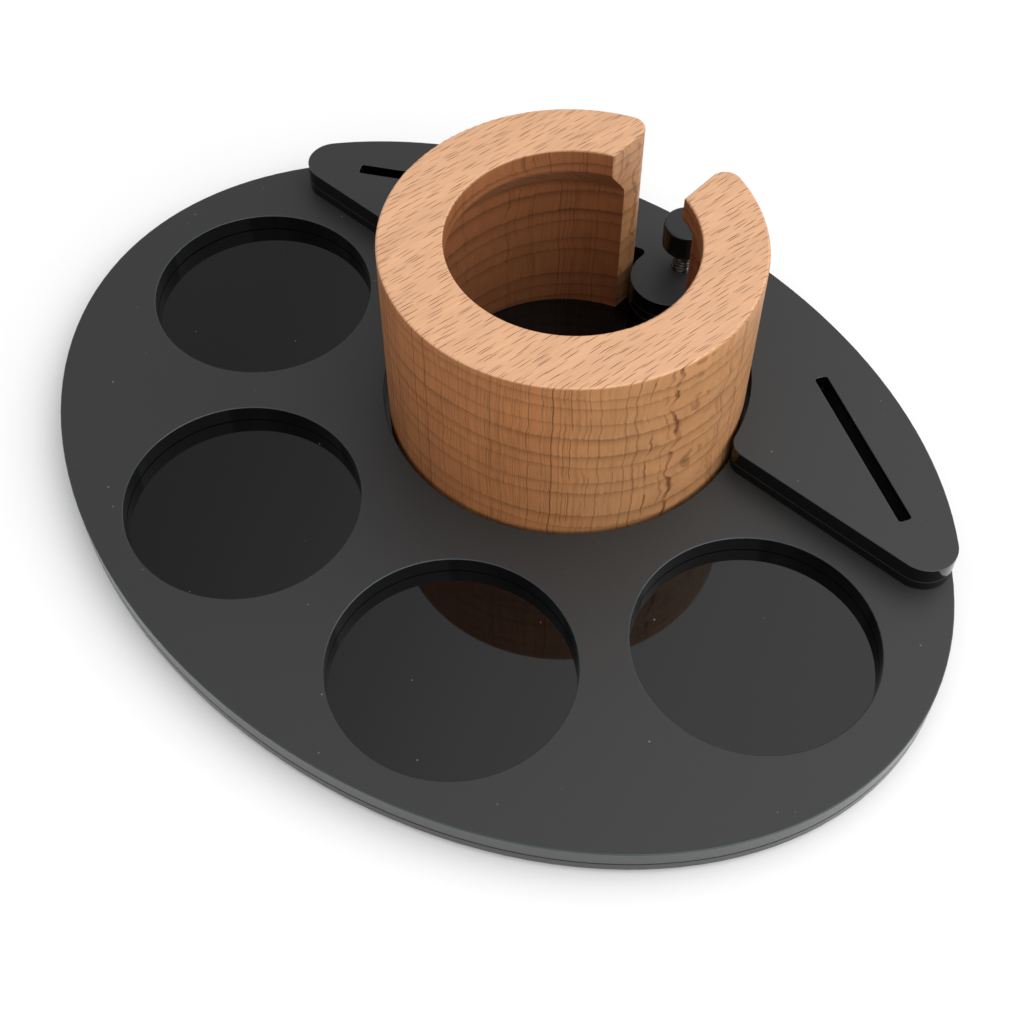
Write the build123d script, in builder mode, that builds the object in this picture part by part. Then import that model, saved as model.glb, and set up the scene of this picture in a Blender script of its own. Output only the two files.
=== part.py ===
"""Oval two-layer acrylic organizer tray with a lift-out slotted wooden ring.

Millimetres, +Z up, +Y to the back, where the ring's slot points. The origin is
under the centre of the oval, on the surface that the feet stand on.
"""

import os
from math import cos, hypot, radians, sin, sqrt

from build123d import *

# ---------------------------------------------------------------- sheets
BASE_THICKNESS = 3.0
TRAY_THICKNESS = 5.0
SPACER_THICKNESS = 3.0
DECK_THICKNESS = 5.0

# ---------------------------------------------------------------- wooden ring
RING_DIAMETER = 94.6
RING_HEIGHT = 59.0
RING_SLOT_WIDTH = 22.6
RING_WALL = 10.8
LIP_DEPTH = 5.4
LIP_HEIGHT = 7.0
WELL_TAPER_HEIGHT = 8.0
LIP_FOOT_ROUND = 2.0
WELL_TOP_ROUND = 4.0
RING_TOP_ROUND = 0.6
JAW_ROUND = 4.2

# ---------------------------------------------------------------- seat and tongue
SEAT_CLEARANCE = 1.2
TONGUE_CLEARANCE = 0.4
TONGUE_TIP_GAP = 1.6
TONGUE_ROOT_ROUND = 1.5

# ---------------------------------------------------------------- round recesses
RECESS_DIAMETER = 60.0
RECESS_WEB = 12.3
RECESS_STEP_ANGLE = 47.0

# ---------------------------------------------------------------- land left at the oval edge
SIDE_LAND = 12.0
FRONT_LAND = 8.0
BACK_LAND = 16.0

# ---------------------------------------------------------------- raised deck
DECK_LAND = 7.1
WING_TIP_ROUND = 8.0
WING_INNER_ROUND = 5.0
CARD_SLOT_LENGTH = 48.5
CARD_SLOT_WIDTH = 3.5
CARD_SLOT_ROUND = 0.8
CARD_SLOT_REACH = 30.4
CARD_SLOT_BEARING = 21.9
CARD_SLOT_TILT = 29.5

# ---------------------------------------------------------------- capped post
POST_DIAMETER = 6.0
POST_SETBACK = 0.9
POST_BARE_HEIGHT = 8.0
POST_FIT = 0.05
CAP_DIAMETER = 13.0
CAP_HEIGHT = 8.0
CAP_SOCKET_DEPTH = 5.0
CAP_TOP_CHAMFER = 0.4
CAP_BOTTOM_ROUND = 1.0

# ---------------------------------------------------------------- feet
FOOT_DIAMETER = 12.0
FOOT_HEIGHT = 2.0
FOOT_ROUND = 0.5
FOOT_INSET = 20.0

# ---------------------------------------------------------------- worked-out heights
BASE_Z = FOOT_HEIGHT
TRAY_Z = BASE_Z + BASE_THICKNESS
SPACER_Z = TRAY_Z + TRAY_THICKNESS
DECK_Z = SPACER_Z + SPACER_THICKNESS
DECK_TOP_Z = DECK_Z + DECK_THICKNESS
CAP_Z = DECK_TOP_Z + POST_BARE_HEIGHT

# ---------------------------------------------------------------- worked-out plan
RING_RADIUS = RING_DIAMETER / 2
WELL_RADIUS = RING_RADIUS - RING_WALL
LIP_RADIUS = WELL_RADIUS - LIP_DEPTH
SEAT_RADIUS = RING_RADIUS + SEAT_CLEARANCE
RECESS_RADIUS = RECESS_DIAMETER / 2
RECESS_PITCH_RADIUS = SEAT_RADIUS + RECESS_WEB + RECESS_RADIUS
INNER_BEARING = radians(RECESS_STEP_ANGLE / 2)
OUTER_BEARING = radians(RECESS_STEP_ANGLE * 3 / 2)

# The oval passes SIDE_LAND outside the side recesses, FRONT_LAND in front of the
# front recesses and BACK_LAND behind the ring's seat, which fixes both its radii
# and how far behind its centre the ring stands.
OVAL_RADIUS_X = RECESS_PITCH_RADIUS * sin(OUTER_BEARING) + RECESS_RADIUS + SIDE_LAND
FRONT_REACH = RECESS_PITCH_RADIUS + RECESS_RADIUS + FRONT_LAND
FRONT_SHARE = sqrt(1 - (FRONT_REACH * sin(INNER_BEARING) / OVAL_RADIUS_X) ** 2)
OVAL_RADIUS_Y = (FRONT_REACH * cos(INNER_BEARING) + BACK_LAND + SEAT_RADIUS) / (1 + FRONT_SHARE)
RING_Y = OVAL_RADIUS_Y - BACK_LAND - SEAT_RADIUS

RECESS_CENTRES = [
    (RECESS_PITCH_RADIUS * sin(bearing), RING_Y - RECESS_PITCH_RADIUS * cos(bearing))
    for bearing in (-OUTER_BEARING, -INNER_BEARING, INNER_BEARING, OUTER_BEARING)
]
DECK_FRONT_Y = RECESS_CENTRES[0][1] + RECESS_RADIUS + DECK_LAND

TONGUE_RADIUS = RING_SLOT_WIDTH / 2 - TONGUE_CLEARANCE
TONGUE_CENTRE_REACH = LIP_RADIUS + TONGUE_TIP_GAP + TONGUE_RADIUS
TONGUE_CENTRE_Y = RING_Y + TONGUE_CENTRE_REACH
TONGUE_BACK_Y = RING_Y + SEAT_RADIUS + BACK_LAND / 2
TONGUE_SIDE_LENGTH = sqrt(SEAT_RADIUS**2 - TONGUE_RADIUS**2) - TONGUE_CENTRE_REACH
# The root's round takes up to half of the tongue's straight side.
ROOT_ROUND = min(TONGUE_ROOT_ROUND, TONGUE_SIDE_LENGTH / 2)

CARD_SLOT_RADIUS = SEAT_RADIUS + CARD_SLOT_REACH
CARD_SLOT_X = CARD_SLOT_RADIUS * cos(radians(CARD_SLOT_BEARING))
CARD_SLOT_Y = RING_Y + CARD_SLOT_RADIUS * sin(radians(CARD_SLOT_BEARING))
POST_Y = RING_Y + SEAT_RADIUS + POST_SETBACK
POST_HOLE_RADIUS = POST_DIAMETER / 2 + POST_FIT

SEAM_TOLERANCE = 0.01


def cut_seat_around_tongue():
    """Cut the ring's round seat from the open sketch and leave the tongue in it."""
    with Locations((0, RING_Y)):
        Circle(SEAT_RADIUS, mode=Mode.SUBTRACT)
    with Locations((0, TONGUE_CENTRE_Y)):
        Circle(TONGUE_RADIUS)
    with Locations((0, (TONGUE_CENTRE_Y + TONGUE_BACK_Y) / 2)):
        Rectangle(2 * TONGUE_RADIUS, TONGUE_BACK_Y - TONGUE_CENTRE_Y)


def tongue_roots(profile):
    """The two corners where the tongue leaves the seat's edge."""
    return [
        corner
        for corner in profile.vertices()
        if abs(hypot(corner.X, corner.Y - RING_Y) - SEAT_RADIUS) < SEAM_TOLERANCE
        and abs(corner.X) < RING_SLOT_WIDTH / 2 + SEAM_TOLERANCE
        and corner.Y > RING_Y
    ]


def build_deck_layer(bottom_z, thickness):
    """One crescent layer of the raised deck, with its two slots and the post hole."""
    with BuildPart() as layer:
        with BuildSketch(Plane.XY.offset(bottom_z)) as outline:
            Ellipse(OVAL_RADIUS_X, OVAL_RADIUS_Y)
            with Locations((0, DECK_FRONT_Y)):
                Rectangle(
                    2 * OVAL_RADIUS_X,
                    OVAL_RADIUS_Y,
                    align=(Align.CENTER, Align.MIN),
                    mode=Mode.INTERSECT,
                )
            cut_seat_around_tongue()
            fillet(tongue_roots(outline), ROOT_ROUND)
            front_corners = outline.vertices().group_by(Axis.Y)[0].sort_by(Axis.X)
            fillet([front_corners[0], front_corners[-1]], WING_TIP_ROUND)
            front_corners = outline.vertices().group_by(Axis.Y)[0].sort_by(Axis.X)
            fillet([front_corners[1], front_corners[-2]], WING_INNER_ROUND)
        extrude(amount=thickness)
        for side in (-1, 1):
            with BuildSketch(Plane.XY.offset(bottom_z)):
                with Locations(Location((side * CARD_SLOT_X, CARD_SLOT_Y), -side * CARD_SLOT_TILT)):
                    RectangleRounded(CARD_SLOT_LENGTH, CARD_SLOT_WIDTH, CARD_SLOT_ROUND)
            extrude(amount=thickness, mode=Mode.SUBTRACT)
        with BuildSketch(Plane.XY.offset(bottom_z)):
            with Locations((0, POST_Y)):
                Circle(POST_HOLE_RADIUS)
        extrude(amount=thickness, mode=Mode.SUBTRACT)
    return layer


def write_part(builder, name):
    """Label a finished piece and write it under its node name."""
    builder.part.label = name
    export_step(builder.part, f"parts/{name}.step")


os.makedirs("parts", exist_ok=True)

# ---------------------------------------------------------------- base sheet
with BuildPart() as base_sheet:
    with BuildSketch(Plane.XY.offset(BASE_Z)):
        Ellipse(OVAL_RADIUS_X, OVAL_RADIUS_Y)
    extrude(amount=BASE_THICKNESS)
write_part(base_sheet, "base_sheet")

# ---------------------------------------------------------------- tray sheet
with BuildPart() as tray_sheet:
    with BuildSketch(Plane.XY.offset(TRAY_Z)) as tray_outline:
        Ellipse(OVAL_RADIUS_X, OVAL_RADIUS_Y)
        cut_seat_around_tongue()
        fillet(tongue_roots(tray_outline), ROOT_ROUND)
        with Locations(*RECESS_CENTRES):
            Circle(RECESS_RADIUS, mode=Mode.SUBTRACT)
    extrude(amount=TRAY_THICKNESS)
write_part(tray_sheet, "tray_sheet")

# ---------------------------------------------------------------- raised deck, two layers
write_part(build_deck_layer(SPACER_Z, SPACER_THICKNESS), "deck_spacer")
write_part(build_deck_layer(DECK_Z, DECK_THICKNESS), "deck_sheet")

# ---------------------------------------------------------------- wooden ring
RING_TOP_Z = TRAY_Z + RING_HEIGHT
LIP_Z = RING_TOP_Z - LIP_HEIGHT
with BuildPart() as holder_ring:
    with BuildSketch(Plane.XZ) as ring_section:
        with BuildLine():
            Polyline(
                (WELL_RADIUS, TRAY_Z),
                (RING_RADIUS, TRAY_Z),
                (RING_RADIUS, RING_TOP_Z),
                (LIP_RADIUS, RING_TOP_Z),
                (LIP_RADIUS, LIP_Z),
                (WELL_RADIUS, LIP_Z - WELL_TAPER_HEIGHT),
                close=True,
            )
        make_face()
        fillet(ring_section.vertices().group_by(Axis.Y)[1], WELL_TOP_ROUND)
        fillet(ring_section.vertices().group_by(Axis.Y)[-2], LIP_FOOT_ROUND)
    revolve(axis=Axis.Z)
    with BuildSketch(Plane.XY.offset(TRAY_Z)):
        Rectangle(RING_SLOT_WIDTH, RING_DIAMETER, align=(Align.CENTER, Align.MIN))
    extrude(amount=RING_HEIGHT, mode=Mode.SUBTRACT)
    fillet(holder_ring.edges().filter_by(Axis.Z).group_by(Axis.Y)[-1], JAW_ROUND)
    fillet(holder_ring.faces().sort_by(Axis.Z)[-1].edges(), RING_TOP_ROUND)
holder_ring.part = holder_ring.part.moved(Location((0, RING_Y, 0)))
write_part(holder_ring, "holder_ring")

# ---------------------------------------------------------------- post
with BuildPart() as post:
    with BuildSketch(Plane.XY.offset(SPACER_Z)):
        with Locations((0, POST_Y)):
            Circle(POST_DIAMETER / 2)
    extrude(amount=CAP_Z + CAP_SOCKET_DEPTH - SPACER_Z)
write_part(post, "post")

# ---------------------------------------------------------------- cap on the post
with BuildPart() as post_cap:
    with BuildSketch(Plane.XY.offset(CAP_Z)):
        with Locations((0, POST_Y)):
            Circle(CAP_DIAMETER / 2)
    extrude(amount=CAP_HEIGHT)
    fillet(post_cap.edges().filter_by(GeomType.CIRCLE).sort_by(Axis.Z)[0], CAP_BOTTOM_ROUND)
    chamfer(post_cap.edges().filter_by(GeomType.CIRCLE).sort_by(Axis.Z)[-1], CAP_TOP_CHAMFER)
    with BuildSketch(Plane.XY.offset(CAP_Z)):
        with Locations((0, POST_Y)):
            Circle(POST_HOLE_RADIUS)
    extrude(amount=CAP_SOCKET_DEPTH, mode=Mode.SUBTRACT)
write_part(post_cap, "post_cap")

# ---------------------------------------------------------------- feet
FOOT_X = (OVAL_RADIUS_X - FOOT_INSET) * cos(radians(45))
FOOT_Y = (OVAL_RADIUS_Y - FOOT_INSET) * sin(radians(45))
for number, (side_x, side_y) in enumerate([(-1, -1), (1, -1), (1, 1), (-1, 1)], start=1):
    with BuildPart() as foot:
        with BuildSketch(Plane.XY):
            with Locations((side_x * FOOT_X, side_y * FOOT_Y)):
                Circle(FOOT_DIAMETER / 2)
        extrude(amount=FOOT_HEIGHT)
        fillet(foot.edges().filter_by(GeomType.CIRCLE).sort_by(Axis.Z)[0], FOOT_ROUND)
    write_part(foot, f"foot_{number}")
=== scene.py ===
import math

import bpy
from bpy.props import FloatProperty, FloatVectorProperty, PointerProperty
from mathutils import Matrix, Vector


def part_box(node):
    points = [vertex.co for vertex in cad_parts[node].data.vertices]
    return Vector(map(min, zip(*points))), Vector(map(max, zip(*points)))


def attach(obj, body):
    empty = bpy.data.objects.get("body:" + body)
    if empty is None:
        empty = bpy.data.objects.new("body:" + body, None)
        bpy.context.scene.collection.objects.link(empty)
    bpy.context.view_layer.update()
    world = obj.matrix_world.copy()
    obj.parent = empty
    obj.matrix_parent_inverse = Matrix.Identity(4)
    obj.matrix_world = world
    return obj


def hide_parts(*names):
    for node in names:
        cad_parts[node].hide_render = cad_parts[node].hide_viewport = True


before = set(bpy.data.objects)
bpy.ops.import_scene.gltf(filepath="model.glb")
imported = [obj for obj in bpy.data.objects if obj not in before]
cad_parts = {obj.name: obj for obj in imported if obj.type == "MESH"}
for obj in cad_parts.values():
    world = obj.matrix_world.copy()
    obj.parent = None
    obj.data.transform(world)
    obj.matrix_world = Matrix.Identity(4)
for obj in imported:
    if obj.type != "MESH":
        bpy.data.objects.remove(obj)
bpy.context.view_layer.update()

bl_info = {
    "name": "Oval Tray with a Slotted Ring",
    "version": (1, 0, 0),
    "blender": (4, 5, 0),
    "location": "3D View > Sidebar > Organizer",
    "description": "Finishes for an oval acrylic tray with a lift-out beech ring",
    "category": "Object",
}

MM = 0.001
FEET = ["foot_1", "foot_2", "foot_3", "foot_4"]
TRAY_LOW, TRAY_HIGH = (Vector(corner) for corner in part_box("base_sheet"))
OVAL_X = (TRAY_HIGH.x - TRAY_LOW.x) / 2
OVAL_Y = (TRAY_HIGH.y - TRAY_LOW.y) / 2
TRAY_JOINT = [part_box("tray_sheet")[0][2]]
DECK_JOINTS = [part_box("deck_spacer")[0][2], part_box("deck_sheet")[0][2]]
RING_LOW, RING_HIGH = (Vector(corner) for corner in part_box("holder_ring"))
RING_RADIUS = (RING_HIGH.x - RING_LOW.x) / 2
RING_AXIS_Y = RING_LOW.y + RING_RADIUS
POST_LOW, POST_HIGH = (Vector(corner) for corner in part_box("post"))
POST_MIDDLE = (POST_LOW + POST_HIGH) / 2
POST_RADIUS = (POST_HIGH.x - POST_LOW.x) / 2

# The beech's figure, in mm. Rays: spacing and half size, along the fibres and across them.
FLECKS = {"spacing": (6.8, 1.2), "half": (2.4, 0.105)}
HAIR_RAYS = {"spacing": (6.0, 0.62), "half": (2.6, 0.10)}
LONG_RAYS = {"spacing": (11.0, 2.8), "half": (4.6, 0.16)}
# Soft variations: size along the fibres, across them and upwards.
SWAY_SIZE = (38, 22, 13)
BREAK_SIZE = (4, 0.7, 8)
HAIR_SIZE = (3, 0.32, 7)
DRIFT_SIZE = (70, 45, 26)
PATCH_SIZE = (20, 20, 5)
FIBRE_SIZE = (9, 0.25, 0.25)
STREAK_SIZE = (18, 0.8, 6)
TONE_SIZE = (60, 7, 9)
CROWDING_SIZE = 11
# How far those variations push the rays sideways and the growth rings up or down.
FINE_SWAY = 2.4
LONG_SWAY = 1.3
DRIFT_REACH = 5.0
HAIR_REACH = 1.5
CROWDING_REACH = 2.4  # in growth rings
BEECH_RELIEF = 0.04 * MM

# Noise on the other finishes, in waves per metre.
GRIT_SCALE = 6500.0
SMEAR_SCALE = 22.0
DUST_SCALE = 190.0
WEAR_SCALE = 900.0
CAP_GRIT_SCALE = 5200.0
CAP_CLOUD_SCALE = 260.0
RUBBER_GRAIN_SCALE = 2600.0
RUBBER_DUST_SCALE = 380.0
PAPER_TOOTH_SCALE = 900.0
DUST_COLOUR = (0.30, 0.30, 0.30)
CAP_TOP_COLOUR = (0.016, 0.016, 0.017)
RUBBER_DUST_COLOUR = (0.10, 0.10, 0.098)
PAPER_TOOTH_COLOUR = (0.8, 0.8, 0.8)
GLUE_HALF_WIDTH = (0.22 * MM, 0.34 * MM)  # solid, faded out
OUTER_REACH = (0.985, 0.995)  # share of the oval's radius where the outer edge begins

SHEET_RELIEF = 0.004 * MM
STEEL_RELIEF = 0.004 * MM
CAP_RELIEF = 0.006 * MM
RUBBER_RELIEF = 0.03 * MM
PAPER_RELIEF = 0.01 * MM
CREST_DEPTH = (0.12 * MM, 0.03 * MM)  # below the thread's outside: still dark, fully bright
JOINT_BLUR = 0.2 * MM

# Mesh details.
WELD_REACH = 0.002 * MM
FLAT_ANGLE = math.radians(0.1)
SHARP_ANGLE = math.radians(40)
BEVEL_STEPS = 3
CAP_EDGE_BREAK = 0.3 * MM
ROD_SIDES = 40
ROWS_PER_TURN = 12
FLANK_SLOPE = 2.5
ROD_CHAMFER = 0.3 * MM

# Studio.
KEY_PLACE = (1.2, 0.3, 1.1)
FILL_PLACE = (-0.5, -1.3, 1.3)
LIGHT_SIZE = 2.2
FILL_SHARE = 0.3
SKY_BLEND = (0.10, 0.58)
SENSOR_WIDTH = 36.0
NEAR_CLIP = 0.01


# ------------------------------------------------------------------ sizes and colours


class BeechSettings(bpy.types.PropertyGroup):
    """Colours and grain of the turned beech ring."""

    board: FloatVectorProperty(
        name="Board Face",
        description="Beech where the ring is cut along the board's face",
        subtype="COLOR",
        default=(0.665, 0.375, 0.215),
    )
    flank: FloatVectorProperty(
        name="Flank",
        description="Beech on the turned sides",
        subtype="COLOR",
        default=(0.405, 0.187, 0.066),
    )
    end_grain: FloatVectorProperty(
        name="End Grain",
        description="Beech where the fibres meet the surface end on",
        subtype="COLOR",
        default=(0.43, 0.163, 0.062),
    )
    # Painted shade: a darker beech for the faces that look towards the ring's axis, inside the lip
    # and the well.
    bore_shade: FloatVectorProperty(
        name="Bore",
        description="Beech inside the lip and the well, where the oil stays dark",
        subtype="COLOR",
        default=(0.30, 0.108, 0.042),
    )
    late_wood: FloatVectorProperty(
        name="Late Wood",
        description="The thin dark line that closes each growth ring",
        subtype="COLOR",
        default=(0.20, 0.075, 0.026),
    )
    ray: FloatVectorProperty(
        name="Rays",
        description="The dark ray flecks",
        subtype="COLOR",
        default=(0.165, 0.057, 0.020),
    )
    grain_angle: FloatProperty(
        name="Grain Angle",
        description="The fibres' direction, from +Y towards +X",
        subtype="ANGLE",
        default=math.radians(9),
    )
    ring_spacing: FloatProperty(
        name="Growth Ring",
        description="Distance from one growth ring to the next",
        unit="LENGTH",
        default=5.4 * MM,
    )
    tree_radius: FloatProperty(
        name="Tree Radius",
        description="How gently the growth rings bend across the board",
        unit="LENGTH",
        default=260 * MM,
    )
    roughness: FloatProperty(
        name="Roughness",
        description="Gloss of the oiled wood",
        default=0.42,
        min=0.0,
        max=1.0,
    )


class AcrylicSettings(bpy.types.PropertyGroup):
    """Colours and gloss of the black acrylic sheets."""

    frosted: FloatVectorProperty(
        name="Frosted Face",
        description="The satin upper face",
        subtype="COLOR",
        default=(0.0218, 0.0221, 0.0224),
    )
    polished: FloatVectorProperty(
        name="Polished",
        description="The glossy faces and cut walls",
        subtype="COLOR",
        default=(0.0010, 0.0010, 0.0011),
    )
    edge: FloatVectorProperty(
        name="Outer Edge",
        description="The machined outer edge",
        subtype="COLOR",
        default=(0.025, 0.0255, 0.026),
    )
    # Painted highlight: a lighter cool tint for the bevelled edges, a light line along each cut
    # edge.
    rim_highlight: FloatVectorProperty(
        name="Rim Tint",
        description="The cool tint on broken edges",
        subtype="COLOR",
        default=(0.030, 0.050, 0.058),
    )
    glue: FloatVectorProperty(
        name="Glue Line",
        description="The dark line where two sheets meet",
        subtype="COLOR",
        default=(0.0015, 0.0015, 0.0016),
    )
    frosted_roughness: FloatProperty(
        name="Frosted Roughness",
        description="Gloss of the satin face",
        default=0.48,
        min=0.0,
        max=1.0,
    )
    polished_roughness: FloatProperty(
        name="Polished Roughness",
        description="Gloss of the polished faces",
        default=0.03,
        min=0.0,
        max=1.0,
    )
    wall_roughness: FloatProperty(
        name="Wall Roughness",
        description="Gloss of the laser-cut walls inside the outline",
        default=0.10,
        min=0.0,
        max=1.0,
    )
    edge_roughness: FloatProperty(
        name="Edge Roughness",
        description="Gloss of the machined outer edge",
        default=0.22,
        min=0.0,
        max=1.0,
    )
    edge_break: FloatProperty(
        name="Broken Edge",
        description="Width of the bevel on each cut edge",
        unit="LENGTH",
        default=0.28 * MM,
    )


class HardwareSettings(bpy.types.PropertyGroup):
    """Colours of the post, its cap and the feet."""

    steel: FloatVectorProperty(
        name="Black Steel",
        description="The threaded post, blackened and polished on its crests",
        subtype="COLOR",
        default=(0.035, 0.035, 0.037),
    )
    # Painted glint: bright steel for the thread's crests, partly rubbed wear and partly a
    # highlight painted in.
    bright: FloatVectorProperty(
        name="Bright Steel",
        description="Steel that shows where the black has rubbed off the crests",
        subtype="COLOR",
        default=(0.62, 0.62, 0.62),
    )
    thread_pitch: FloatProperty(
        name="Thread Pitch",
        description="Rise of the post's thread in one turn",
        unit="LENGTH",
        default=1.0 * MM,
    )
    thread_depth: FloatProperty(
        name="Thread Depth",
        description="From crest to root",
        unit="LENGTH",
        default=0.45 * MM,
    )
    cap: FloatVectorProperty(
        name="Cap",
        description="The black cap on the post",
        subtype="COLOR",
        default=(0.006, 0.006, 0.0065),
    )
    rubber: FloatVectorProperty(
        name="Rubber",
        description="The bumper feet",
        subtype="COLOR",
        default=(0.018, 0.018, 0.019),
    )


class StageSettings(bpy.types.PropertyGroup):
    """Floor, light and camera."""

    floor: FloatVectorProperty(
        name="Floor",
        description="The plain pale floor",
        subtype="COLOR",
        default=(0.90, 0.90, 0.90),
    )
    floor_size: FloatProperty(
        name="Floor Size",
        description="Side of the square floor",
        unit="LENGTH",
        default=30.0,
    )
    bright_side: FloatVectorProperty(
        name="Bright Side",
        description="Where the sky is brightest",
        subtype="DIRECTION",
        default=(0.75, 0.35, 0.56),
    )
    sky_low: FloatProperty(
        name="Shaded Sky",
        description="Strength of the sky away from its bright side",
        default=0.50,
        min=0.0,
    )
    sky_high: FloatProperty(
        name="Bright Sky",
        description="Strength of the sky on its bright side",
        default=1.60,
        min=0.0,
    )
    key_power: FloatProperty(
        name="Key Power",
        description="Power of the large soft key light",
        unit="POWER",
        default=15.5,
        min=0.0,
    )
    target: FloatVectorProperty(
        name="Aim",
        description="Where the camera looks",
        subtype="TRANSLATION",
        default=(17.2 * MM, -9.9 * MM, 10.0 * MM),
    )
    distance: FloatProperty(
        name="Distance",
        description="From the camera to where it looks",
        unit="LENGTH",
        default=393.1 * MM,
    )
    azimuth: FloatProperty(
        name="Azimuth",
        description="0 looks along +Y",
        subtype="ANGLE",
        default=math.radians(41.61),
    )
    elevation: FloatProperty(
        name="Elevation",
        description="Above the horizon",
        subtype="ANGLE",
        default=math.radians(54.12),
    )
    roll: FloatProperty(
        name="Roll",
        description="Turn about the line of sight",
        subtype="ANGLE",
        default=math.radians(0.29),
    )
    lens: FloatProperty(
        name="Focal Length",
        description="On a 36 mm sensor",
        unit="CAMERA",
        default=54.92,
    )


# ------------------------------------------------------------------ shader kit


class Reading:
    """A number that varies over a surface; arithmetic on it adds Math nodes."""

    def __init__(self, kit, socket):
        self.kit = kit
        self.socket = socket

    def _math(self, operation, first, second):
        node = self.kit.add("ShaderNodeMath", {"operation": operation}, {0: first, 1: second})
        return Reading(self.kit, node.outputs[0])

    def __add__(self, other):
        return self._math("ADD", self, other)

    def __radd__(self, other):
        return self._math("ADD", other, self)

    def __sub__(self, other):
        return self._math("SUBTRACT", self, other)

    def __rsub__(self, other):
        return self._math("SUBTRACT", other, self)

    def __mul__(self, other):
        return self._math("MULTIPLY", self, other)

    def __rmul__(self, other):
        return self._math("MULTIPLY", other, self)

    def __truediv__(self, other):
        return self._math("DIVIDE", self, other)

    def __pow__(self, other):
        return self._math("POWER", self, other)

    def __abs__(self):
        return self._math("ABSOLUTE", self, 0.0)

    def fraction(self):
        """The part after the decimal point."""
        return self._math("FRACT", self, 0.0)


class NodeKit:
    """Adds nodes to one node tree, which it first clears."""

    def __init__(self, tree):
        self.tree = tree
        self.tree.nodes.clear()

    def add(self, kind, settings=None, inputs=None):
        """Add a node; its settings are set first, then its sockets' values or links."""
        node = self.tree.nodes.new(kind)
        for key, value in (settings or {}).items():
            setattr(node, key, value)
        for key, value in (inputs or {}).items():
            if isinstance(value, Reading):
                value = value.socket
            if isinstance(value, bpy.types.NodeSocket):
                self.tree.links.new(value, node.inputs[key])
            else:
                node.inputs[key].default_value = value
        return node

    def along(self, vector, direction):
        """How far a vector reaches in one direction."""
        node = self.add(
            "ShaderNodeVectorMath", {"operation": "DOT_PRODUCT"}, {0: vector, 1: tuple(direction)}
        )
        return Reading(self, node.outputs["Value"])

    def point(self, x, y, z):
        """A vector from three readings."""
        return self.add("ShaderNodeCombineXYZ", inputs={0: x, 1: y, 2: z}).outputs[0]

    def noise(self, vector, scale, detail=2.0):
        """Smooth noise, about 0.5 on average."""
        node = self.add(
            "ShaderNodeTexNoise", inputs={"Vector": vector, "Scale": scale, "Detail": detail}
        )
        return Reading(self, node.outputs["Fac"])

    def cells(self, vector, scale):
        """Distance to the nearest of many scattered points, and a random number for each."""
        node = self.add("ShaderNodeTexVoronoi", inputs={"Vector": vector, "Scale": scale})
        chance = self.add("ShaderNodeSeparateColor", inputs={0: node.outputs["Color"]})
        return Reading(self, node.outputs["Distance"]), Reading(self, chance.outputs[0])

    def ribbons(self, along, across, spacing, half):
        """Scattered thin dashes, and a random number for each; sizes run along and across."""
        vector = self.point(along / spacing[0], across / spacing[1], 0.0)
        node = self.add(
            "ShaderNodeTexVoronoi", {"voronoi_dimensions": "2D"}, {"Vector": vector, "Scale": 1.0}
        )
        centre = node.outputs["Position"]
        off_along = (along - self.along(centre, (spacing[0], 0, 0))) / half[0]
        off_across = (across - self.along(centre, (0, spacing[1], 0))) / half[1]
        reach = (off_along * off_along + off_across * off_across) ** 0.5
        chance = self.add("ShaderNodeSeparateColor", inputs={0: node.outputs["Color"]})
        return self.step(reach, 1.10, 0.75), Reading(self, chance.outputs[0])

    def step(self, value, start, end):
        """0 at start, 1 at end, smooth between; start may be the larger."""
        node = self.add(
            "ShaderNodeMapRange",
            {"interpolation_type": "SMOOTHSTEP"},
            {"Value": value, "From Min": start, "From Max": end},
        )
        return Reading(self, node.outputs["Result"])

    def mix(self, share, first, second):
        """A blend of two colours."""
        node = self.add(
            "ShaderNodeMix",
            {"data_type": "RGBA"},
            {0: share, 6: self.colour(first), 7: self.colour(second)},
        )
        return node.outputs[2]

    @staticmethod
    def colour(value):
        """A colour with alpha, or the link that gives one."""
        if isinstance(value, bpy.types.NodeSocket):
            return value
        return (*value, 1.0)


class MaterialKit(NodeKit):
    """Adds nodes to one new material."""

    def __init__(self, name):
        self.material = bpy.data.materials.new(name)
        self.material.use_nodes = True
        super().__init__(self.material.node_tree)
        coordinates = self.add("ShaderNodeTexCoord")
        self.place = coordinates.outputs["Object"]
        self.normal = coordinates.outputs["Normal"]

    def finish(self, colour, roughness, bump, bump_depth, **constants):
        """Close the tree with one Principled shader over a fine bump."""
        inputs = {"Base Color": self.colour(colour), "Roughness": roughness}
        inputs.update({name.replace("_", " "): value for name, value in constants.items()})
        relief = self.add(
            "ShaderNodeBump", inputs={"Height": bump, "Distance": bump_depth, "Strength": 1.0}
        )
        inputs["Normal"] = relief.outputs[0]
        shader = self.add("ShaderNodeBsdfPrincipled", inputs=inputs)
        self.add("ShaderNodeOutputMaterial", inputs={"Surface": shader.outputs[0]})
        return self.material


# ------------------------------------------------------------------ materials


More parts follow.
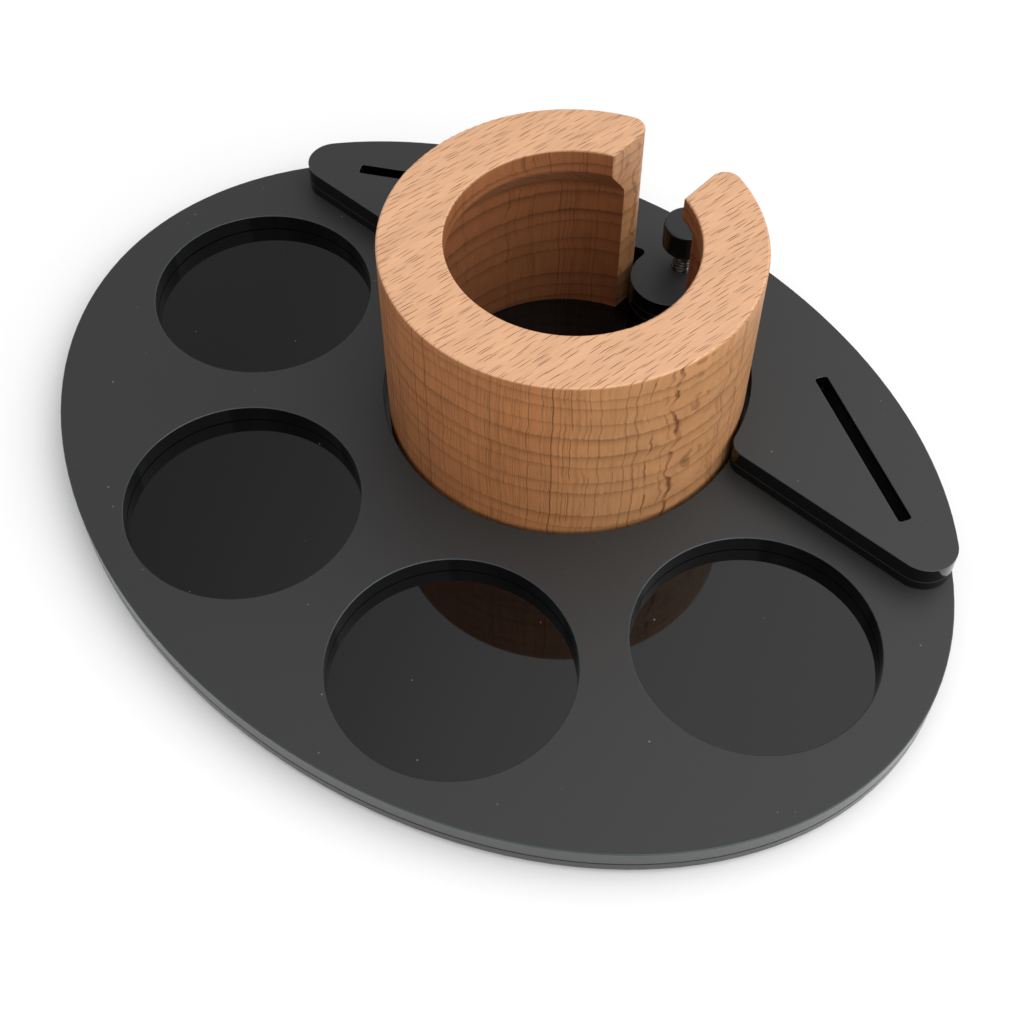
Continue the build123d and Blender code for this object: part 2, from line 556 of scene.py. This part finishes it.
def beech(settings):
    """Flat-sawn beech: growth rings stacked upwards, ray ribbons standing across them."""
    kit = MaterialKit("beech")
    angle = settings.grain_angle
    fibre = (math.sin(angle), math.cos(angle), 0.0)
    breadth = (math.cos(angle), -math.sin(angle), 0.0)
    along = kit.along(kit.place, fibre) / MM
    across = kit.along(kit.place, breadth) / MM
    up = kit.along(kit.place, (0, 0, 1)) / MM
    side = kit.along(kit.place, (1, 0, 0))
    back = kit.along(kit.place, (0, 1, 0)) - RING_AXIS_Y
    from_axis = (side * side + back * back) ** 0.5

    # Which way the surface faces: along the board, across the fibres' ends, or on the quarter.
    flat = kit.step(abs(kit.along(kit.normal, (0, 0, 1))), 0.25, 0.95)
    end_on = kit.step(abs(kit.along(kit.normal, fibre)), 0.35, 1.0) * (1 - flat)
    quartered = kit.step(abs(kit.along(kit.normal, breadth)), 0.55, 1.0) * (1 - flat)

    def figure(size, sideways=across, detail=2.0):
        """Noise stretched to a size along the fibres, across them and upwards."""
        place = kit.point(along / size[0], sideways / size[1], up / size[2])
        return kit.noise(place, 1.0, detail)

    sway = figure(SWAY_SIZE, detail=3.0) - 0.5
    straight = across + FINE_SWAY * sway
    broken = kit.step(figure(BREAK_SIZE, straight), 0.36, 0.54)
    flecks, fleck_chance = kit.ribbons(along, straight, **FLECKS)
    hair_rays, hair_chance = kit.ribbons(along, straight, **HAIR_RAYS)
    long_rays, long_chance = kit.ribbons(along, across + LONG_SWAY * sway, **LONG_RAYS)
    hair_rays = hair_rays * hair_chance * broken
    long_rays = long_rays * kit.step(long_chance, 0.35, 0.75) * (1 - quartered)
    rays = flecks * (0.50 + 0.50 * fleck_chance) * (0.48 + 0.48 * flat)
    rays = rays + (0.70 * hair_rays + 0.85 * long_rays) * (1 - flat)
    hairs = figure(HAIR_SIZE, straight) - 0.5

    # Growth rings: each darkens slowly, closes with a thin line, and starts again pale.
    drift = figure(DRIFT_SIZE) - 0.5
    bend = across * across / (2 * settings.tree_radius / MM)
    depth = up + bend + DRIFT_REACH * drift + HAIR_REACH * hairs
    crowding = kit.noise(kit.point(depth / CROWDING_SIZE, 0.0, 0.0), 1.0, 1.0)
    phase = (depth / (settings.ring_spacing / MM) + CROWDING_REACH * crowding).fraction()
    patchy = figure(PATCH_SIZE)
    broad_band = kit.step(phase, 0.30, 0.95) ** 2.0 * kit.step(phase, 1.0, 0.97)
    thin_line = kit.step(phase, 0.84, 0.96) * kit.step(phase, 1.0, 0.97)
    late = (0.55 * broad_band + 0.45 * thin_line) * (0.30 + 1.1 * patchy)

    fibres = figure(FIBRE_SIZE, detail=3.0) - 0.5
    streaks = figure(STREAK_SIZE, straight) - 0.5
    tone = figure(TONE_SIZE) - 0.5

    # Colour: the ground for each face, then the growth rings, the rays and a mottled shade.
    ground = kit.mix(flat, settings.flank, settings.board)
    ground = kit.mix(end_on * 0.75, ground, settings.end_grain)
    ground = kit.mix(quartered * 0.20, ground, settings.board)
    outward = kit.along(kit.normal, (1, 0, 0)) * side + kit.along(kit.normal, (0, 1, 0)) * back
    # Painted shade: faces that look towards the ring's axis, inside the lip and the well, take the
    # darker bore colour.
    inside = kit.step(outward / from_axis, -0.35, -0.75) * (1 - flat)
    ground = kit.mix(inside * 0.85, ground, settings.bore_shade)
    ground = kit.mix(late * (0.45 - 0.38 * flat) * (1 - inside), ground, settings.late_wood)
    ground = kit.mix(rays, ground, settings.ray)
    shade = 1.0 + (0.50 * fibres + 0.18 * streaks) * flat + 0.28 * tone + 0.42 * hairs * (1 - flat)
    shade = shade * (1 - late * (0.15 * (1 - flat) + 0.30 * inside))
    toned = kit.add(
        "ShaderNodeVectorMath", {"operation": "SCALE"}, {0: ground, "Scale": shade}
    ).outputs[0]
    relief = 0.6 * fibres - 1.0 * rays
    roughness = settings.roughness + 0.10 * rays + 0.10 * fibres
    return kit.finish(toned, roughness, relief, BEECH_RELIEF, IOR=1.45, Specular_IOR_Level=0.4)


def acrylic(name, settings, frosted_top, joint_heights):
    """Black sheet: polished all over, or frosted on its broad faces, with a sanded outer edge."""
    kit = MaterialKit(name)
    x = kit.along(kit.place, (1 / OVAL_X, 0, 0))
    y = kit.along(kit.place, (0, 1 / OVAL_Y, 0))
    reach = (x * x + y * y) ** 0.5
    upright = abs(kit.along(kit.normal, (0, 0, 1)))
    broad = kit.step(upright, 0.90, 0.995)
    rim_highlight = kit.step(upright, 0.05, 0.30) * (1 - broad)
    outer = kit.step(reach, *OUTER_REACH) * (1 - broad)

    height = kit.along(kit.place, (0, 0, 1))
    solid, faded = GLUE_HALF_WIDTH
    glue = 0.0
    for joint_height in joint_heights:
        glue = glue + kit.step(abs(height - joint_height), faded, solid) * (1 - broad)
    lower = kit.step(height, TRAY_JOINT[0] + JOINT_BLUR, TRAY_JOINT[0] - JOINT_BLUR)

    grit = kit.noise(kit.place, GRIT_SCALE, 3.0)
    smear = kit.noise(kit.place, SMEAR_SCALE, 4.0)
    dust_distance, dust_chance = kit.cells(kit.place, DUST_SCALE)
    dust = kit.step(dust_distance, 0.052, 0.018) * kit.step(dust_chance, 0.35, 0.75)

    face_colour = settings.frosted if frosted_top else settings.polished
    face_roughness = settings.frosted_roughness if frosted_top else settings.polished_roughness
    colour = kit.mix(broad, settings.polished, face_colour)
    colour = kit.mix(outer * (1 - 0.6 * lower), colour, settings.edge)
    # Painted highlight: the bevels take the lighter cool tint, on top of what they really reflect.
    colour = kit.mix(rim_highlight * 0.8, colour, settings.rim_highlight)
    colour = kit.mix(glue, colour, settings.glue)
    colour = kit.mix(dust * broad * 0.75, colour, DUST_COLOUR)
    roughness = (
        settings.wall_roughness * (1 - broad)
        + face_roughness * broad
        + (settings.edge_roughness - settings.wall_roughness) * outer
        + 0.5 * glue
        + 0.10 * (smear - 0.5) * broad * float(frosted_top)
    )
    relief = grit * broad * float(frosted_top) + 0.6 * grit * outer
    return kit.finish(colour, roughness, relief, SHEET_RELIEF, IOR=1.49)


def threaded_steel(settings):
    """Blackened steel whose crests turn bright in patches, partly rubbed wear and partly a painted
    glint.
    """
    kit = MaterialKit("threaded_steel")
    side = kit.along(kit.place, (1, 0, 0)) - POST_MIDDLE.x
    back = kit.along(kit.place, (0, 1, 0)) - POST_MIDDLE.y
    from_axis = (side * side + back * back) ** 0.5
    crest = kit.step(from_axis, POST_RADIUS - CREST_DEPTH[0], POST_RADIUS - CREST_DEPTH[1])
    wear = kit.step(kit.noise(kit.place, WEAR_SCALE, 3.0), 0.35, 0.65)
    # Painted glint: worn patches of the crests take the bright steel, partly wear and partly a
    # painted highlight.
    colour = kit.mix(crest * wear, settings.steel, settings.bright)
    return kit.finish(colour, 0.28 - 0.12 * crest, wear, STEEL_RELIEF, Metallic=1.0)


def cap_plastic(settings):
    """Black moulded cap, duller on its top."""
    kit = MaterialKit("cap_plastic")
    top = kit.step(kit.along(kit.normal, (0, 0, 1)), 0.7, 0.98)
    grit = kit.noise(kit.place, CAP_GRIT_SCALE)
    cloud = kit.noise(kit.place, CAP_CLOUD_SCALE)
    colour = kit.mix(0.4 * cloud + 0.4 * top, settings.cap, CAP_TOP_COLOUR)
    roughness = 0.16 + 0.24 * top + 0.05 * cloud
    return kit.finish(colour, roughness, grit * top, CAP_RELIEF, IOR=1.5)


def bumper_rubber(settings):
    """Soft black rubber with a fine grain and a little dust."""
    kit = MaterialKit("bumper_rubber")
    grain = kit.noise(kit.place, RUBBER_GRAIN_SCALE, 3.0)
    dust = kit.step(kit.noise(kit.place, RUBBER_DUST_SCALE, 4.0), 0.52, 0.75)
    colour = kit.mix(0.35 * dust, settings.rubber, RUBBER_DUST_COLOUR)
    return kit.finish(colour, 0.68 + 0.14 * dust, grain, RUBBER_RELIEF, IOR=1.5)


def floor_paper(settings):
    """Plain pale studio paper."""
    kit = MaterialKit("floor_paper")
    tooth = kit.noise(kit.place, PAPER_TOOTH_SCALE)
    colour = kit.mix(0.03 * tooth, settings.floor, PAPER_TOOTH_COLOUR)
    return kit.finish(colour, 0.85, tooth, PAPER_RELIEF, Specular_IOR_Level=0.2)


# ------------------------------------------------------------------ pieces


def smooth_shading():
    """The node group that shades a mesh smooth, without the normals stored in it."""
    group = bpy.data.node_groups.get("smooth_shading")
    if group:
        return group
    group = bpy.data.node_groups.new("smooth_shading", "GeometryNodeTree")
    for way in ("INPUT", "OUTPUT"):
        group.interface.new_socket("Mesh", in_out=way, socket_type="NodeSocketGeometry")
    kit = NodeKit(group)
    packed = kit.add("NodeGroupInput").outputs[0]
    bare = kit.add("GeometryNodeRemoveAttribute", inputs={0: packed, "Name": "custom_normal"})
    smooth = kit.add("GeometryNodeSetShadeSmooth", inputs={0: bare.outputs[0]})
    kit.add("NodeGroupOutput", inputs={0: smooth.outputs[0]})
    return group


def dress(node_name, material, edge_break=0.0):
    """Give a CAD node its material and, where asked, bevel its sharp edges by modifiers alone."""
    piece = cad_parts[node_name]
    if not piece.material_slots:
        piece.data.materials.append(material)
    for slot in piece.material_slots:
        slot.material = material
    if edge_break <= 0:
        return
    smooth = piece.modifiers.new("Smooth Shading", "NODES")
    smooth.node_group = smooth_shading()
    weld = piece.modifiers.new("Weld", "WELD")
    weld.merge_threshold = WELD_REACH
    planar = piece.modifiers.new("Planar", "DECIMATE")
    planar.decimate_type = "DISSOLVE"
    planar.angle_limit = FLAT_ANGLE
    bevel = piece.modifiers.new("Edge Break", "BEVEL")
    bevel.width = edge_break
    bevel.segments = BEVEL_STEPS
    bevel.limit_method = "ANGLE"
    bevel.angle_limit = SHARP_ANGLE
    bevel.harden_normals = True
    weighted = piece.modifiers.new("Weighted Normal", "WEIGHTED_NORMAL")
    weighted.keep_sharp = True


def threaded_rod(settings):
    """A rod with one helical thread, chamfered at both ends, in the CAD post's box."""
    root = POST_RADIUS - settings.thread_depth
    length = POST_HIGH.z - POST_LOW.z
    rows = round(length / settings.thread_pitch) * ROWS_PER_TURN
    vertices = []
    for row in range(rows + 1):
        height = length * row / rows
        end_limit = root - ROD_CHAMFER + min(height, length - height)
        for side in range(ROD_SIDES):
            turn = side / ROD_SIDES
            lift = (height / settings.thread_pitch - turn) % 1.0
            flank = min(1.0, max(0.0, FLANK_SLOPE * (0.5 - abs(lift - 0.5))))
            radius = min(root + settings.thread_depth * flank, end_limit)
            angle = math.tau * turn
            x = POST_MIDDLE.x + radius * math.cos(angle)
            y = POST_MIDDLE.y + radius * math.sin(angle)
            vertices.append((x, y, POST_LOW.z + height))
    faces = [tuple(reversed(range(ROD_SIDES)))]
    for row in range(rows):
        low, high = row * ROD_SIDES, (row + 1) * ROD_SIDES
        for side in range(ROD_SIDES):
            ahead = (side + 1) % ROD_SIDES
            faces.append((low + side, low + ahead, high + ahead, high + side))
    faces.append(tuple(rows * ROD_SIDES + side for side in range(ROD_SIDES)))
    mesh = bpy.data.meshes.new("threaded_post")
    mesh.from_pydata(vertices, [], faces)
    mesh.shade_smooth()
    mesh.validate()
    rod = bpy.data.objects.new("threaded_post", mesh)
    bpy.context.scene.collection.objects.link(rod)
    return rod


class ORGANIZER_OT_sheets(bpy.types.Operator):
    """Finish the two oval sheets of the tray"""

    bl_idname = "organizer.sheets"
    bl_label = "Tray Sheets"

    def execute(self, context):
        settings = context.scene.organizer_acrylic
        polished = acrylic("acrylic_polished", settings, False, TRAY_JOINT)
        frosted = acrylic("acrylic_frosted", settings, True, TRAY_JOINT)
        dress("base_sheet", polished, settings.edge_break)
        dress("tray_sheet", frosted, settings.edge_break)
        return {"FINISHED"}


class ORGANIZER_OT_deck(bpy.types.Operator):
    """Finish the two layers of the raised deck"""

    bl_idname = "organizer.deck"
    bl_label = "Raised Deck"

    def execute(self, context):
        settings = context.scene.organizer_acrylic
        material = acrylic("acrylic_deck", settings, True, DECK_JOINTS)
        dress("deck_spacer", material, settings.edge_break / 2)
        dress("deck_sheet", material, settings.edge_break)
        return {"FINISHED"}


class ORGANIZER_OT_ring(bpy.types.Operator):
    """Finish the slotted beech ring"""

    bl_idname = "organizer.ring"
    bl_label = "Beech Ring"

    def execute(self, context):
        dress("holder_ring", beech(context.scene.organizer_beech))
        return {"FINISHED"}


class ORGANIZER_OT_post(bpy.types.Operator):
    """Finish the post and its cap"""

    bl_idname = "organizer.post"
    bl_label = "Capped Post"

    def execute(self, context):
        settings = context.scene.organizer_hardware
        post = threaded_rod(settings)
        post.data.materials.append(threaded_steel(settings))
        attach(post, "tray")
        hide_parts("post")
        dress("post_cap", cap_plastic(settings), CAP_EDGE_BREAK)
        return {"FINISHED"}


class ORGANIZER_OT_feet(bpy.types.Operator):
    """Finish the four bumper feet"""

    bl_idname = "organizer.feet"
    bl_label = "Feet"

    def execute(self, context):
        rubber = bumper_rubber(context.scene.organizer_hardware)
        for name in FEET:
            dress(name, rubber)
        return {"FINISHED"}


# ------------------------------------------------------------------ stage


def light_the_sky(settings):
    """A soft studio sky, brighter on one side."""
    world = bpy.data.worlds.new("studio")
    bpy.context.scene.world = world
    world.use_nodes = True
    kit = NodeKit(world.node_tree)
    where = kit.add("ShaderNodeTexCoord").outputs["Generated"]
    rise = kit.add(
        "ShaderNodeMapRange",
        {"interpolation_type": "SMOOTHSTEP"},
        {
            "Value": kit.along(where, settings.bright_side),
            "From Min": SKY_BLEND[0],
            "From Max": SKY_BLEND[1],
            "To Min": settings.sky_low,
            "To Max": settings.sky_high,
        },
    )
    background = kit.add("ShaderNodeBackground", inputs={"Strength": rise.outputs["Result"]})
    kit.add("ShaderNodeOutputWorld", inputs={"Surface": background.outputs[0]})


def soft_light(name, place, power):
    """A large square soft light that faces the middle of the object."""
    light = bpy.data.lights.new(name, "AREA")
    light.shape = "SQUARE"
    light.size = LIGHT_SIZE
    light.energy = power
    holder = bpy.data.objects.new(name, light)
    bpy.context.scene.collection.objects.link(holder)
    holder.location = place
    holder.rotation_euler = Vector(place).to_track_quat("Z", "Y").to_euler()


def place_camera(settings):
    """Aim the camera at the tray."""
    camera = bpy.data.cameras.new("camera")
    camera.lens = settings.lens
    camera.sensor_width = SENSOR_WIDTH
    camera.clip_start = NEAR_CLIP
    holder = bpy.data.objects.new("camera", camera)
    bpy.context.scene.collection.objects.link(holder)
    level = math.cos(settings.elevation)
    back = Vector(
        (
            math.sin(settings.azimuth) * level,
            -math.cos(settings.azimuth) * level,
            math.sin(settings.elevation),
        )
    )
    aim = back.to_track_quat("Z", "Y").to_matrix().to_4x4()
    turn = Matrix.Rotation(settings.roll, 4, "Z")
    place = Vector(settings.target) + back * settings.distance
    holder.matrix_world = Matrix.Translation(place) @ aim @ turn
    bpy.context.scene.camera = holder


class ORGANIZER_OT_stage(bpy.types.Operator):
    """Lay the floor, light it and place the camera"""

    bl_idname = "organizer.stage"
    bl_label = "Stage"

    def execute(self, context):
        settings = context.scene.organizer_stage
        half = settings.floor_size / 2
        corners = [(-half, -half, 0), (half, -half, 0), (half, half, 0), (-half, half, 0)]
        mesh = bpy.data.meshes.new("floor")
        mesh.from_pydata(corners, [], [(0, 1, 2, 3)])
        floor = bpy.data.objects.new("floor", mesh)
        context.scene.collection.objects.link(floor)
        mesh.materials.append(floor_paper(settings))
        light_the_sky(settings)
        soft_light("key", KEY_PLACE, settings.key_power)
        soft_light("fill", FILL_PLACE, settings.key_power * FILL_SHARE)
        place_camera(settings)
        context.scene.view_settings.view_transform = "Standard"
        return {"FINISHED"}


class ORGANIZER_PT_panel(bpy.types.Panel):
    """Lists the operators and the settings"""

    bl_idname = "ORGANIZER_PT_panel"
    bl_label = "Organizer"
    bl_space_type = "VIEW_3D"
    bl_region_type = "UI"
    bl_category = "Organizer"

    def draw(self, context):
        for operator in OPERATORS:
            self.layout.operator(operator.bl_idname)
        for name in SETTINGS:
            group = getattr(context.scene, name)
            box = self.layout.box()
            for key in group.bl_rna.properties.keys():
                if key not in {"rna_type", "name"}:
                    box.prop(group, key)


SETTINGS = {
    "organizer_beech": BeechSettings,
    "organizer_acrylic": AcrylicSettings,
    "organizer_hardware": HardwareSettings,
    "organizer_stage": StageSettings,
}
OPERATORS = [
    ORGANIZER_OT_sheets,
    ORGANIZER_OT_deck,
    ORGANIZER_OT_ring,
    ORGANIZER_OT_post,
    ORGANIZER_OT_feet,
    ORGANIZER_OT_stage,
]


def register():
    for group in SETTINGS.values():
        bpy.utils.register_class(group)
    for name, group in SETTINGS.items():
        setattr(bpy.types.Scene, name, PointerProperty(type=group))
    for operator in OPERATORS:
        bpy.utils.register_class(operator)
    bpy.utils.register_class(ORGANIZER_PT_panel)


def unregister():
    bpy.utils.unregister_class(ORGANIZER_PT_panel)
    for operator in reversed(OPERATORS):
        bpy.utils.unregister_class(operator)
    for name in SETTINGS:
        delattr(bpy.types.Scene, name)
    for group in reversed(list(SETTINGS.values())):
        bpy.utils.unregister_class(group)


def main():
    register()
    bpy.ops.organizer.sheets()
    bpy.ops.organizer.deck()
    bpy.ops.organizer.ring()
    bpy.ops.organizer.post()
    bpy.ops.organizer.feet()
    bpy.ops.organizer.stage()


if __name__ == "__main__":
    main()
